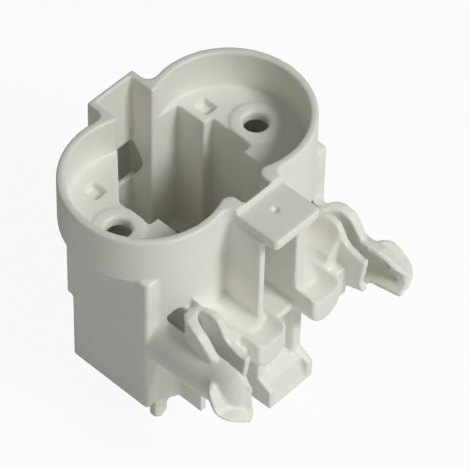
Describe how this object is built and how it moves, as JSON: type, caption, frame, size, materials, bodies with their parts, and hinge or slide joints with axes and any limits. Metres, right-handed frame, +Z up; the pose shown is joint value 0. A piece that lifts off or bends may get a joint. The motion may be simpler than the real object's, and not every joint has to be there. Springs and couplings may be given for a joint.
{
  "type": "oven lamp holder",
  "caption": "White moulded oven lamp holder with a two-lobed cup over a keyed well, a front snap tongue with a wedge, finger levers at the sides and contact springs.",
  "frame": {"origin": "midway between the two fixing holes, on the floor of the cup", "axes": "+X along the two lobes, -Y towards the snap tongue and levers, +Z up out of the cup"},
  "size_m": [0.0588, 0.0651, 0.0549],
  "materials": {
    "moulded_plastic": "satin moulded, heat resistant",
    "contact_metal": "bare strip",
    "rivet_metal": "bare"
  },
  "bodies": {
    "root": {"holder_body": "moulded_plastic", "contact_left": "contact_metal", "contact_right": "contact_metal", "rivet_left": "rivet_metal", "rivet_right": "rivet_metal"}
  },
  "joints": []
}
